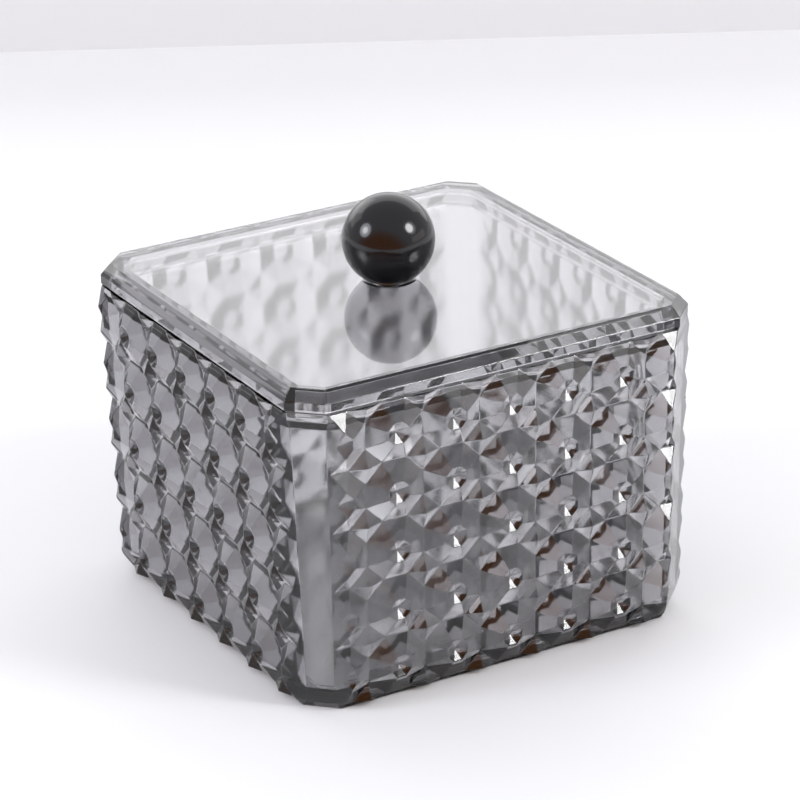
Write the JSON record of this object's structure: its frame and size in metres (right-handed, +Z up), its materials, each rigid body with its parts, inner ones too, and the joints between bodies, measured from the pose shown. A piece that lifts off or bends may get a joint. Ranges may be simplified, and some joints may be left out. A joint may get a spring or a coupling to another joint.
{
  "type": "storage box",
  "caption": "Square clear smoke-grey box with faceted diamond-relief walls, smooth 45 degree corner panels, and a flat bevelled lift-off lid with a black ball knob.",
  "frame": {"origin": "centre of the base, at the level of the surface the box stands on", "axes": "+Z up through the knob; the four relief walls face +X, -X, +Y and -Y"},
  "size_m": [0.1048, 0.1048, 0.0946],
  "materials": {
    "smoke_body": "clear smoke-grey polystyrene, moulded, glossy",
    "smoke_lid": "clear smoke-grey polystyrene, moulded, glossy",
    "collar": "dark clear polystyrene, polished",
    "ball": "near-black plastic ball, polished"
  },
  "bodies": {
    "box": {"box_body": "smoke_body"},
    "lid": {"lid": "smoke_lid", "knob_collar": "collar", "knob_ball": "ball"}
  },
  "joints": [
    {"name": "lid_lift", "type": "slide", "parent": "box", "child": "lid", "axis": [0, 0, 1], "range_m": [0, 0.06]}
  ]
}
